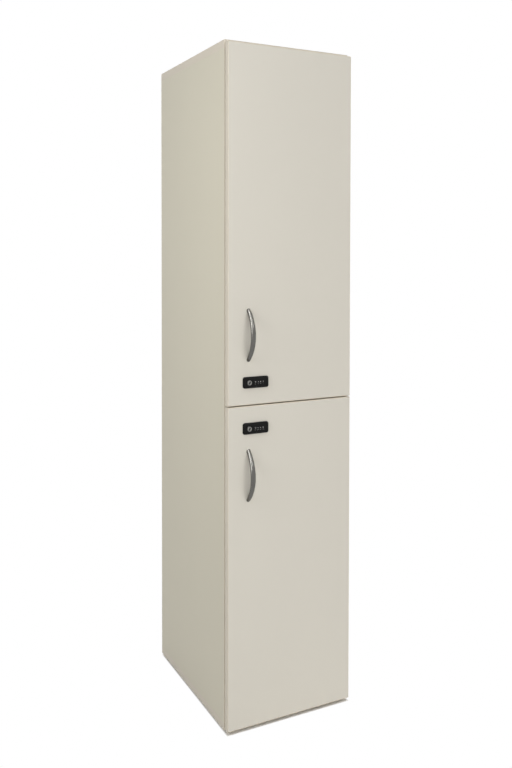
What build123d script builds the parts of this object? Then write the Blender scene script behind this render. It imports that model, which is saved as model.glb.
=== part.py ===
from build123d import *
from math import asin, atan2, cos, degrees, hypot, radians, sin
import os

os.makedirs("parts", exist_ok=True)

# A tall two-door board locker. Sizes are in millimetres. The doors face -Y, their hinges are at
# +X and their handles at -X. The origin is under the middle of the whole, on the floor.

# The cabinet
cabinet_width = 375.0
cabinet_height = 1800.0
cabinet_depth = 480.0
board = 18.0
top_board = 22.0
back_board = 8.0
glide_height = 6.0
carcass_band = 1.0
band_arris = 0.6
band_joint = 0.1

# The doors
door_gap = 3.0
door_back_gap = 2.5
door_side_inset = 1.0
door_top_inset = 8.0
door_bottom_inset = 3.0
door_split_height = 856.0
door_band = 2.0
door_arris = 1.4

# Clearances
fitting_play = 0.1
seat_play = 0.3
pivot_play = 0.05

# Back panel groove
groove_depth = 8.0
groove_play = 0.15
back_inset = 12.0

# Cam fittings and dowels of the board joints
bolt_front = 62.0
bolt_rear = 84.0
dowel_pitch = 32.0
dowel_radius = 4.0
dowel_in_end = 20.0
dowel_in_face = 10.0
cam_from_end = 24.0
cam_fitting_radius = 7.4
cam_fitting_depth = 12.4
cam_mouth_radius = 3.9
cam_mouth_length = 11.0
cam_recess_radius = 3.2
cam_recess_depth = 1.6
bolt_shank_radius = 3.0
bolt_neck_radius = 2.0
bolt_head_radius = 3.3
bolt_neck_length = 4.0
bolt_head_length = 2.6
bolt_thread_length = 10.0

# Glides
glide_radius = 15.0
glide_inset = 27.0
glide_recess_radius = 5.0
glide_recess_depth = 3.0
glide_bevel = 1.0

# Wood screws
screw_radius = 1.75
screw_head_radius = 3.4
screw_head = 1.8
screw_bite = 11.0
short_screw_bite = 6.0

# Coat hooks
hook_below_ceiling = 130.0
hook_plate_height = 52.0
hook_plate_width = 20.0
hook_plate_corner = 9.0
hook_plate = 2.5
hook_reach = 46.0
hook_rise = 30.0
hook_rod_radius = 3.5
hook_tip_radius = 5.5
hook_bend = 14.0
hook_screw_spacing = 34.0
hook_rod_drop = 4.0

# Door bumpers
bumper_radius = 4.0
bumper_height = 2.2
bumper_from_end = 30.0
bumper_crown = 0.6

# Bow handles
handle_spacing = 128.0
handle_projection = 32.0
handle_width = 14.0
handle_end_width = 10.5
handle_thickness = 7.5
handle_end_thickness = 8.4
handle_from_edge = 59.0
handle_from_split = 183.0
handle_stations = 9
handle_overrun = 5.0
handle_screw_radius = 2.0
handle_screw_bite = 3.8
handle_screw_play = 0.3
handle_head_radius = 4.0
handle_head = 2.4

# Combination locks
lock_width = 74.0
lock_height = 29.5
lock_corner = 5.5
lock_projection = 6.0
lock_bevel = 2.6
lock_from_edge = 79.0
lock_from_split = 60.0
lock_body_width = 62.0
lock_body_corner = 2.5
lock_mortice_play = 0.4
lock_wall = 1.4
lock_front_wall = 2.2
lock_plate = 2.0
lock_plate_margin = 6.0
lock_screw_radius = 1.5
lock_screw_head_radius = 2.8
lock_screw_head = 1.6
lock_screw_bite = 8.0
lock_screw_inset = 3.3
dial_radius = 9.6
dial_width = 6.0
dial_pitch = 7.4
dial_count = 4
dial_first = -2.8
dial_proud = 0.9
dial_play = 0.3
dial_numbers = 10
dial_notch_radius = 1.0
spindle_radius = 1.5
spindle_seat = 3.0
knob_offset = -20.7
knob_radius = 7.0
knob_proud = 2.6
knob_bevel = 0.9
knob_recess_length = 8.8
knob_recess_width = 5.0
knob_recess_depth = 1.4
knob_recess_slant = 60.0
knob_shaft_radius = 4.0
knob_square = 5.6
cam_back = 5.9
cam_thickness = 2.5
cam_side_play = 3.0
cam_hub_radius = 8.0
cam_tip_radius = 5.5
cam_screw_radius = 1.5
cam_screw_bite = 6.0
cam_screw_head_radius = 4.0
cam_screw_head = 2.2

# Strike angles for the lock cams
strike_thickness = 2.0
strike_height = 32.0
strike_reach = 16.0
strike_depth = 28.0
strike_screw_spacing = 16.0
strike_screw_back = 16.0

# Concealed hinges: the cup in the door
hinge_from_end = 100.0
cup_radius = 17.4
cup_bore_play = 0.2
cup_depth = 11.3
cup_from_edge = 22.5
cup_pocket_radius = 16.2
cup_pocket_depth = 10.2
cup_pocket_near = 6.7
cup_pocket_neck = 6.1
cup_pocket_half = 7.9
cup_notch = 12.0
cup_notch_half = 6.6
cup_flange = 1.2
cup_wing_length = 60.0
cup_wing_width = 13.0
cup_screw_spacing = 48.0
cup_screw_offset = 6.0
cup_lug_width = 3.6
cup_lug_rise = 1.5

# Concealed hinges: pivots at rest. On the arm, inwards from the side panel's inner face and back
# from the carcass front. In the cup, from the door's hinge edge and from its back face.
outer_arm_pivot = (11.9, 16.0)
inner_arm_pivot = (16.9, 1.1)
outer_cup_pivot = (9.15, 4.25)
inner_cup_pivot = (12.75, 2.5)
outer_knee = (15.5, 8.1)
inner_knee = (23.5, 7.55)
inner_slot_travel = 2.0
inner_slot_play = 0.4
link_width = 3.6
slot_end_width = 4.6
pin_radius = 0.9

# Concealed hinges: layers across the hinge, as half widths from its middle
inner_link_half = 2.9
lug_near = 3.2
lug_far = 4.2
outer_link_near = 4.6
outer_link_far = 5.8
cheek_near = 6.2
cheek_far = 7.4
pin_head = 0.3

# Concealed hinges: arm and mounting plate
arm_sheet = 1.5
arm_rear = 64.0
arm_rear_height = 12.5
arm_front_height = 20.6
arm_crank_rear = 36.0
arm_crank_front = 18.0
arm_tip = 0.9
arm_chin = 13.0
arm_chin_back = 6.0
arm_belly = 7.6
arm_belly_front = 12.0
arm_belly_rear = 24.0
arm_foot_back = 32.0
plate_base = 2.5
plate_base_front = 26.0
plate_base_width = 15.6
plate_rib_half = 5.5
plate_rib_height = 8.5
plate_wing_back = 37.0
plate_wing_length = 52.0
plate_wing_width = 13.0
plate_screw_spacing = 32.0
adjuster_backs = (42.0, 56.0)
adjuster_radius = 2.4
adjuster_head_radius = 3.4
adjuster_head = 1.4
adjuster_bite = 4.0

# Levels and places worked out from the sizes above
side_x = cabinet_width / 2
side_inner_x = side_x - board
side_middle_x = side_x - board / 2
hinge_edge_x = side_x - door_side_inset
back_y = (cabinet_depth + handle_projection) / 2
door_face_y = handle_projection - back_y
door_back_y = door_face_y + board
carcass_front_y = door_back_y + door_back_gap
core_front_y = carcass_front_y + carcass_band
core_depth = back_y - core_front_y
core_middle_y = (back_y + core_front_y) / 2
back_panel_rear_y = back_y - back_inset
back_panel_front_y = back_panel_rear_y - back_board
back_panel_middle_y = (back_panel_rear_y + back_panel_front_y) / 2
groove_width = back_board + 2 * groove_play
bottom_top_z = glide_height + board
top_under_z = cabinet_height - top_board
divider_under_z = door_split_height - board / 2
divider_top_z = door_split_height + board / 2
bolt_ys = (carcass_front_y + bolt_front, back_y - bolt_rear)
dowel_ys = (bolt_ys[0] + dowel_pitch, bolt_ys[1] - dowel_pitch)
door_levels = {
    "upper": (door_split_height + door_gap / 2, cabinet_height - door_top_inset),
    "lower": (glide_height + door_bottom_inset, door_split_height - door_gap / 2),
}
ceilings = {"upper": top_under_z, "lower": divider_under_z}
away_from_split = {"upper": 1, "lower": -1}
handle_x = handle_from_edge - hinge_edge_x
lock_x = lock_from_edge - hinge_edge_x
knob_x = lock_x + knob_offset
lock_front_y = door_face_y - lock_projection
dial_y = lock_front_y + dial_radius - dial_proud
dial_xs = [lock_x + dial_first + n * dial_pitch for n in range(dial_count)]
lock_body_height = 2 * (dial_radius + dial_play + lock_wall)
cam_front_y = door_back_y + cam_back
cam_back_y = cam_front_y + cam_thickness
strike_back_y = cam_front_y - seat_play
strike_front_y = strike_back_y - strike_thickness
knob_seat_y = lock_front_y - seat_play
cam_reach = knob_x + side_inner_x - strike_thickness - cam_side_play


def facing_front(y):
    """A plane that looks out of the front: its X is the cabinet's X and its Y is height."""
    return Plane(origin=(0, y, 0), x_dir=(1, 0, 0), z_dir=(0, -1, 0))


def facing_right(x):
    """A plane that looks to the right: its X is the cabinet's Y and its Y is height."""
    return Plane(origin=(x, 0, 0), x_dir=(0, 1, 0), z_dir=(1, 0, 0))


def turned(seat, *steps, mode=Mode.ADD):
    """Puts round steps in the part in hand, one after another along the seat's normal."""
    start = 0.0
    for radius, length in steps:
        with BuildSketch(seat.offset(start)) as step:
            Circle(radius)
        extrude(step.sketch, amount=length, mode=mode)
        start += length


def bored(seat, *steps):
    """Cuts round steps into the part in hand, one after another along the seat's normal."""
    turned(seat, *steps, mode=Mode.SUBTRACT)


def fitting(corner, tapped, room):
    """A cam fitting's two planes: the bolt's at the board joint, the cam's on the open face."""
    face_point = Vector(corner) - Vector(tapped) * cam_from_end + Vector(room) * (board / 2)
    return Plane(origin=corner, z_dir=tapped), Plane(origin=face_point, z_dir=room)


# Where the boards are joined: cam fittings and, a pitch further in, dowels
sides = (-1, 1)
top_fittings = [
    fitting((s * side_middle_x, y, top_under_z), (0, 0, 1), (-s, 0, 0)) for s in sides for y in bolt_ys
]
bottom_fittings = [
    fitting((s * side_middle_x, y, bottom_top_z), (0, 0, -1), (-s, 0, 0)) for s in sides for y in bolt_ys
]
divider_fittings = [
    fitting((s * side_inner_x, y, door_split_height), (s, 0, 0), (0, 0, -1)) for s in sides for y in bolt_ys
]
top_dowels = [
    Plane(origin=(s * side_middle_x, y, top_under_z), z_dir=(0, 0, 1)) for s in sides for y in dowel_ys
]
bottom_dowels = [
    Plane(origin=(s * side_middle_x, y, bottom_top_z), z_dir=(0, 0, -1)) for s in sides for y in dowel_ys
]
divider_dowels = [
    Plane(origin=(s * side_inner_x, y, door_split_height), z_dir=(s, 0, 0)) for s in sides for y in dowel_ys
]


def drill_tapped_board(fittings, dowels):
    """Bolt and dowel holes in the face that the other board's end meets."""
    for seat, _ in fittings:
        bored(seat, (bolt_shank_radius + fitting_play, bolt_thread_length + seat_play))
    for seat in dowels:
        bored(seat, (dowel_radius + fitting_play, dowel_in_face + seat_play))


def drill_board_end(fittings, dowels):
    """Cam housings in the open face, with bolt bores and dowel holes in the end."""
    for seat, face in fittings:
        bored(-seat, (bolt_shank_radius + seat_play, cam_from_end))
        bored(-face, (cam_fitting_radius + fitting_play, cam_fitting_depth + seat_play))
    for seat in dowels:
        bored(-seat, (dowel_radius + fitting_play, dowel_in_end + seat_play))


def on_side(planes, side):
    """Keeps the planes, or pairs of planes, that lie on one side of the cabinet."""
    return [p for p in planes if (p[0] if isinstance(p, tuple) else p).origin.X * side > 0]


# Glide and screw places under the bottom panel
glide_middle_y = (back_y + carcass_front_y) / 2
glide_span_x = cabinet_width - 2 * glide_inset
glide_span_y = back_y - carcass_front_y - 2 * glide_inset
glide_seats = [
    Plane(origin=(sx * glide_span_x / 2, glide_middle_y + sy * glide_span_y / 2, 0), z_dir=(0, 0, 1))
    for sx in sides
    for sy in sides
]

# Top panel: the thicker board, laid over the ends of the sides
with BuildPart() as top_panel:
    with BuildSketch(Plane.XY.offset(top_under_z)):
        with Locations((0, core_middle_y)):
            Rectangle(cabinet_width - 2 * carcass_band, core_depth)
    extrude(amount=top_board)
    with BuildSketch(Plane.XY.offset(top_under_z)):
        with Locations((0, back_panel_middle_y)):
            Rectangle(2 * (side_inner_x + groove_depth), groove_width)
    extrude(amount=groove_depth, mode=Mode.SUBTRACT)
    drill_tapped_board(top_fittings, top_dowels)
top_panel.part.label = "top_panel"
export_step(top_panel.part, "parts/top_panel.step")

# Bottom panel: under the ends of the sides, on four glides
with BuildPart() as bottom_panel:
    with BuildSketch(Plane.XY.offset(glide_height)):
        with Locations((0, core_middle_y)):
            Rectangle(cabinet_width - 2 * carcass_band, core_depth)
    extrude(amount=board)
    with BuildSketch(Plane.XY.offset(bottom_top_z)):
        with Locations((0, back_panel_middle_y)):
            Rectangle(2 * (side_inner_x + groove_depth), groove_width)
    extrude(amount=-groove_depth, mode=Mode.SUBTRACT)
    drill_tapped_board(bottom_fittings, bottom_dowels)
    for seat in glide_seats:
        bored(seat.offset(glide_height), (screw_radius + fitting_play, screw_bite + seat_play))
bottom_panel.part.label = "bottom_panel"
export_step(bottom_panel.part, "parts/bottom_panel.step")

# Strike angle and mounting plate screws, where they enter the side panels
strike_screw_y = strike_front_y + strike_screw_back
lock_levels = {door: door_split_height + away_from_split[door] * lock_from_split for door in door_levels}
strike_screw_seats = [
    Plane(origin=(-side_inner_x, strike_screw_y, z + s * strike_screw_spacing / 2), z_dir=(-1, 0, 0))
    for z in lock_levels.values()
    for s in sides
]
hinge_levels = {
    door: (low + hinge_from_end, high - hinge_from_end) for door, (low, high) in door_levels.items()
}
plate_screw_seats = [
    Plane(
        origin=(side_inner_x, carcass_front_y + plate_wing_back, z + s * plate_screw_spacing / 2),
        z_dir=(1, 0, 0),
    )
    for levels in hinge_levels.values()
    for z in levels
    for s in sides
]

# Side panels: between the bottom and the top, grooved for the back
for name, side, screw_seats in (("left", -1, strike_screw_seats), ("right", 1, plate_screw_seats)):
    with BuildPart() as side_panel:
        with BuildSketch(Plane.XY.offset(bottom_top_z)):
            with Locations((side * side_middle_x, core_middle_y)):
                Rectangle(board, core_depth)
        extrude(amount=top_under_z - bottom_top_z)
        with BuildSketch(Plane.XY.offset(bottom_top_z)):
            with Locations((side * (side_inner_x + groove_depth / 2), back_panel_middle_y)):
                Rectangle(groove_depth, groove_width)
        extrude(amount=top_under_z - bottom_top_z, mode=Mode.SUBTRACT)
        end_dowels = on_side(top_dowels + bottom_dowels, side)
        drill_board_end(on_side(top_fittings + bottom_fittings, side), end_dowels)
        drill_tapped_board(on_side(divider_fittings, side), on_side(divider_dowels, side))
        for seat in screw_seats:
            bored(seat, (screw_radius + fitting_play, screw_bite + seat_play))
    side_panel.part.label = f"{name}_side_panel"
    export_step(side_panel.part, f"parts/{name}_side_panel.step")

# Divider shelf: behind the gap between the doors, up to the back panel
divider_depth = back_panel_front_y - core_front_y
with BuildPart() as divider_shelf:
    with BuildSketch(Plane.XY.offset(divider_under_z)):
        with Locations((0, core_front_y + divider_depth / 2)):
            Rectangle(2 * side_inner_x, divider_depth)
    extrude(amount=board)
    drill_board_end(divider_fittings, divider_dowels)
divider_shelf.part.label = "divider_shelf"
export_step(divider_shelf.part, "parts/divider_shelf.step")

# Back panel: slid into the grooves all round
hook_levels = {door: ceilings[door] - hook_below_ceiling for door in door_levels}
hook_screw_seats = [
    Plane(origin=(0, back_panel_front_y, z + s * hook_screw_spacing / 2), z_dir=(0, 1, 0))
    for z in hook_levels.values()
    for s in sides
]
back_panel_half = side_inner_x + groove_depth - seat_play
with BuildPart() as back_panel:
    with BuildSketch(facing_front(back_panel_rear_y)):
        with Locations((0, (bottom_top_z + top_under_z) / 2)):
            Rectangle(2 * back_panel_half, top_under_z - bottom_top_z + 2 * (groove_depth - seat_play))
    extrude(amount=back_board)
    for seat in hook_screw_seats:
        bored(seat, (screw_radius + fitting_play, short_screw_bite + seat_play))
back_panel.part.label = "back_panel"
export_step(back_panel.part, "parts/back_panel.step")

# Edge bands of the carcass: strips glued to the ends of top and bottom, and to all front edges
band_strips = [
    (0, (top_under_z + cabinet_height) / 2, cabinet_width, top_board),
    (0, glide_height + board / 2, cabinet_width, board),
    (-side_middle_x, (bottom_top_z + top_under_z) / 2, board, top_under_z - bottom_top_z - 2 * band_joint),
    (side_middle_x, (bottom_top_z + top_under_z) / 2, board, top_under_z - bottom_top_z - 2 * band_joint),
    (0, door_split_height, 2 * (side_inner_x - band_joint), board),
]
with BuildPart() as carcass_edge_bands:
    for side in sides:
        for z, up in (((top_under_z + cabinet_height) / 2, top_board), (glide_height + board / 2, board)):
            with BuildSketch(facing_right(side * (side_x - carcass_band))):
                with Locations((core_middle_y + band_joint / 2, z)):
                    Rectangle(core_depth - band_joint, up)
            extrude(amount=side * carcass_band)
    for side in sides:
        fillet(carcass_edge_bands.edges().filter_by(Axis.Y).sort_by(Axis.X)[:: side][-4:], band_arris)
    for x, z, across, up in band_strips:
        with BuildSketch(facing_front(core_front_y)):
            with Locations((x, z)):
                Rectangle(across, up)
        extrude(amount=carcass_band)
    fillet(carcass_edge_bands.faces().group_by(Axis.Y)[0].edges(), band_arris)
carcass_edge_bands.part.label = "carcass_edge_bands"
export_step(carcass_edge_bands.part, "parts/carcass_edge_bands.step")

# Dowels: beech pegs beside the cam fittings
with BuildPart() as dowels:
    for seat in top_dowels + bottom_dowels + divider_dowels:
        turned(seat.offset(-dowel_in_end), (dowel_radius, dowel_in_end + dowel_in_face))
dowels.part.label = "dowels"
export_step(dowels.part, "parts/dowels.step")

# Cam fittings: cast drums that draw the bolts' heads, with a recess for the driver
all_fittings = top_fittings + bottom_fittings + divider_fittings
with BuildPart() as cam_fittings:
    for seat, face in all_fittings:
        turned(-face, (cam_fitting_radius, cam_fitting_depth))
    for seat, face in all_fittings:
        bored((-seat).offset(cam_from_end - cam_fitting_radius), (cam_mouth_radius, cam_mouth_length))
        bored(-face, (cam_recess_radius, cam_recess_depth))
cam_fittings.part.label = "cam_fittings"
export_step(cam_fittings.part, "parts/cam_fittings.step")

# Cam bolts: screwed into the tapped board, their heads in the drums
bolt_shank_length = cam_from_end - bolt_neck_length - bolt_head_length
with BuildPart() as cam_bolts:
    for seat, _ in all_fittings:
        turned(
            seat.offset(bolt_thread_length),
            (bolt_shank_radius, -bolt_thread_length - bolt_shank_length),
            (bolt_neck_radius, -bolt_neck_length),
            (bolt_head_radius, -bolt_head_length),
        )
cam_bolts.part.label = "cam_bolts"
export_step(cam_bolts.part, "parts/cam_bolts.step")

# Glides: black discs that keep the bottom panel off the floor
with BuildPart() as glides:
    for seat in glide_seats:
        turned(seat, (glide_radius, glide_height))
    chamfer(glides.edges().group_by(Axis.Z)[0], glide_bevel)
    for seat in glide_seats:
        bored(seat, (glide_recess_radius, glide_recess_depth), (screw_radius + fitting_play, glide_height))
glides.part.label = "glides"
export_step(glides.part, "parts/glides.step")

# Door bumpers: soft dots on the front edge of the left side, at each door's two corners
with BuildPart() as door_bumpers:
    for low, high in door_levels.values():
        for z in (low + bumper_from_end, high - bumper_from_end):
            turned(
                Plane(origin=(-side_middle_x, carcass_front_y, z), z_dir=(0, -1, 0)),
                (bumper_radius, bumper_height),
            )
    fillet(door_bumpers.edges().group_by(Axis.Y)[0], bumper_crown)
door_bumpers.part.label = "door_bumpers"
export_step(door_bumpers.part, "parts/door_bumpers.step")

# Coat hooks: a pressed plate on the back panel, with one rod bent outwards and up
hook_tip_y = back_panel_front_y - hook_plate - hook_reach
with BuildPart() as coat_hooks:
    for z in hook_levels.values():
        with BuildSketch(facing_front(back_panel_front_y)):
            with Locations((0, z)):
                RectangleRounded(hook_plate_width, hook_plate_height, hook_plate_corner)
        extrude(amount=hook_plate)
        rod_z = z - hook_rod_drop
        with BuildLine(Plane(origin=(0, 0, 0), x_dir=(0, 1, 0), z_dir=(1, 0, 0))) as hook_path:
            FilletPolyline(
                (back_panel_front_y - hook_plate / 2, rod_z),
                (hook_tip_y, rod_z),
                (hook_tip_y, rod_z + hook_rise),
                radius=hook_bend,
            )
        with BuildSketch(facing_front(back_panel_front_y - hook_plate / 2)):
            with Locations((0, rod_z)):
                Circle(hook_rod_radius)
        sweep(path=hook_path.wires()[0])
        with Locations((0, hook_tip_y, rod_z + hook_rise)):
            Sphere(hook_tip_radius)
    for seat in hook_screw_seats:
        bored(seat.offset(-hook_plate), (screw_radius + fitting_play, hook_plate))
coat_hooks.part.label = "coat_hooks"
export_step(coat_hooks.part, "parts/coat_hooks.step")

# Strike angles: steel angles on the left side, which the lock cams turn behind
with BuildPart() as lock_strikes:
    for z in lock_levels.values():
        with BuildSketch(facing_right(-side_inner_x)):
            with Locations((strike_front_y + strike_depth / 2, z)):
                Rectangle(strike_depth, strike_height)
        extrude(amount=strike_thickness)
        with BuildSketch(facing_front(strike_back_y)):
            with Locations((strike_reach / 2 - side_inner_x, z)):
                Rectangle(strike_reach, strike_height)
        extrude(amount=strike_thickness)
    fillet(lock_strikes.edges().filter_by(Axis.Y).group_by(Axis.X)[-1], strike_thickness)
    for seat in strike_screw_seats:
        bored(seat.offset(-strike_thickness), (screw_radius + fitting_play, strike_thickness))
lock_strikes.part.label = "lock_strikes"
export_step(lock_strikes.part, "parts/lock_strikes.step")


# Concealed hinges


def in_arm(inwards, back):
    """A point in plan, inwards from the right side panel and back from the carcass front."""
    return (side_inner_x - inwards, carcass_front_y + back)


def in_cup(from_edge, deep):
    """A point in plan, from the closed door's hinge edge and forwards from its back face."""
    return (hinge_edge_x - from_edge, door_back_y - deep)


def layers(near, far):
    """The two mirrored layers of a hinge, as starts and thicknesses along its height."""
    return ((near, far - near), (-far, far - near))


def bar(first, last, width):
    """Adds a round-ended bar between two points to the sketch in hand."""
    run = hypot(last[0] - first[0], last[1] - first[1])
    slant = degrees(atan2(last[1] - first[1], last[0] - first[0]))
    with Locations(((first[0] + last[0]) / 2, (first[1] + last[1]) / 2)):
        SlotCenterToCenter(run, width, rotation=slant)


outer_arm_xy = in_arm(*outer_arm_pivot)
inner_arm_xy = in_arm(*inner_arm_pivot)
outer_cup_xy = in_cup(*outer_cup_pivot)
inner_cup_xy = in_cup(*inner_cup_pivot)
outer_knee_xy = in_cup(*outer_knee)
inner_knee_xy = in_cup(*inner_knee)
hole_radius = pin_radius + pivot_play
all_hinge_levels = [z for levels in hinge_levels.values() for z in levels]

# Mounting plates: a winged base on the side panel with a rib that the arm sits over
with BuildPart() as hinge_mounting_plates:
    for z in all_hinge_levels:
        base_length = arm_rear - plate_base_front
        with BuildSketch(facing_right(side_inner_x)):
            with Locations((carcass_front_y + (arm_rear + plate_base_front) / 2, z)):
                Rectangle(base_length, plate_base_width)
            with Locations((carcass_front_y + plate_wing_back, z)):
                SlotOverall(plate_wing_length, plate_wing_width, rotation=90)
        extrude(amount=-plate_base)
        with BuildSketch(facing_right(side_inner_x)):
            with Locations((carcass_front_y + (arm_rear + plate_base_front) / 2, z)):
                Rectangle(base_length - 2 * arm_sheet, 2 * plate_rib_half)
        extrude(amount=-plate_rib_height)
    for seat in plate_screw_seats:
        bored(seat.offset(-plate_base), (screw_radius + fitting_play, plate_base))
    for z in all_hinge_levels:
        for back in adjuster_backs:
            rib_top = Plane(origin=(*in_arm(plate_rib_height, back), z), z_dir=(1, 0, 0))
            bored(rib_top, (adjuster_radius + fitting_play, adjuster_bite + seat_play))
hinge_mounting_plates.part.label = "hinge_mounting_plates"
export_step(hinge_mounting_plates.part, "parts/hinge_mounting_plates.step")

# Hinge arms: cranked steel channels, open towards the side panel
arm_outline = [
    in_arm(plate_base, arm_rear),
    in_arm(arm_rear_height, arm_rear),
    in_arm(arm_rear_height, arm_crank_rear),
    in_arm(arm_front_height, arm_crank_front),
    in_arm(arm_front_height, -arm_tip),
    in_arm(arm_chin, -arm_tip),
    in_arm(arm_chin, arm_chin_back),
    in_arm(arm_belly, arm_belly_front),
    in_arm(arm_belly, arm_belly_rear),
    in_arm(plate_base, arm_foot_back),
]
with BuildPart() as hinge_arms:
    for z in all_hinge_levels:
        with BuildSketch(Plane.XY.offset(z - cheek_far)):
            with BuildLine():
                Polyline(*arm_outline, close=True)
            make_face()
        extrude(amount=2 * cheek_far)
        with BuildSketch(Plane.XY.offset(z - cheek_near)):
            with BuildLine():
                Polyline(*[(x + arm_sheet, y) for x, y in arm_outline], close=True)
            make_face()
            with Locations(in_arm((arm_front_height + arm_chin) / 2 - arm_sheet, -arm_tip)):
                Rectangle(arm_front_height - arm_chin, 2 * arm_tip)
            with Locations(in_arm(plate_base, (arm_rear + arm_foot_back) / 2)):
                Rectangle(2 * arm_sheet, arm_rear - arm_foot_back)
        extrude(amount=2 * cheek_near, mode=Mode.SUBTRACT)
        for start, thick in layers(lug_near, lug_far):
            with BuildSketch(Plane.XY.offset(z + start)):
                bar(inner_arm_xy, in_arm(arm_front_height - arm_sheet, inner_arm_pivot[1]), link_width)
            extrude(amount=thick)
        bored(Plane(origin=(*outer_arm_xy, z - cheek_far), z_dir=(0, 0, 1)), (hole_radius, 2 * cheek_far))
        bored(Plane(origin=(*inner_arm_xy, z - lug_far), z_dir=(0, 0, 1)), (hole_radius, 2 * lug_far))
        for back in adjuster_backs:
            web = Plane(origin=(*in_arm(arm_rear_height, back), z), z_dir=(1, 0, 0))
            bored(web, (adjuster_radius + fitting_play, arm_sheet + seat_play))
hinge_arms.part.label = "hinge_arms"
export_step(hinge_arms.part, "parts/hinge_arms.step")

# Arm pins: the outer link's through both cheeks, the inner link's between the lugs
with BuildPart() as hinge_arm_pins:
    for z in all_hinge_levels:
        for point, half in ((outer_arm_xy, cheek_far + pin_head), (inner_arm_xy, lug_far)):
            turned(Plane(origin=(*point, z - half), z_dir=(0, 0, 1)), (pin_radius, 2 * half))
hinge_arm_pins.part.label = "hinge_arm_pins"
export_step(hinge_arm_pins.part, "parts/hinge_arm_pins.step")

# Adjusting screws: through each arm's web into the rib of its plate
adjuster_length = arm_rear_height - plate_rib_height + adjuster_bite
with BuildPart() as hinge_adjusters:
    for z in all_hinge_levels:
        for back in adjuster_backs:
            head = Plane(origin=(*in_arm(arm_rear_height + adjuster_head, back), z), z_dir=(1, 0, 0))
            turned(head, (adjuster_head_radius, adjuster_head), (adjuster_radius, adjuster_length))
hinge_adjusters.part.label = "hinge_adjusters"
export_step(hinge_adjusters.part, "parts/hinge_adjusters.step")

# Wood screws of the carcass: hinge plates, strikes, coat hooks and glides
screw_seats = (
    [(seat.offset(-plate_base), plate_base + screw_bite) for seat in plate_screw_seats]
    + [(seat.offset(-strike_thickness), strike_thickness + screw_bite) for seat in strike_screw_seats]
    + [(seat.offset(-hook_plate), hook_plate + short_screw_bite) for seat in hook_screw_seats]
    + [
        (seat.offset(glide_recess_depth), glide_height - glide_recess_depth + screw_bite)
        for seat in glide_seats
    ]
)
with BuildPart() as carcass_screws:
    for seat, length in screw_seats:
        turned(seat.offset(-screw_head), (screw_head_radius, screw_head), (screw_radius, length))
carcass_screws.part.label = "carcass_screws"
export_step(carcass_screws.part, "parts/carcass_screws.step")

# Handle shape: a bow whose middle line is an arc over the two screws
bow_rise = handle_projection - handle_thickness / 2
bow_radius = ((handle_spacing / 2) ** 2 + bow_rise**2) / (2 * bow_rise)
bow_centre_y = door_face_y + bow_radius - bow_rise
bow_half_angle = degrees(asin(handle_spacing / 2 / bow_radius)) + handle_overrun

# Lock shapes: the pocket for the dials and the places of the lock's screws
dial_room_left = dial_xs[0] - dial_width / 2 - dial_play * 2
dial_room_right = dial_xs[-1] + dial_width / 2 + dial_play * 2
lock_screw_xs = (
    lock_x - lock_body_width / 2 + lock_screw_inset,
    lock_x + lock_body_width / 2 - lock_screw_inset,
)
spindle_left = dial_room_left - spindle_seat
spindle_length = dial_room_right - dial_room_left + 2 * spindle_seat

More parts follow.
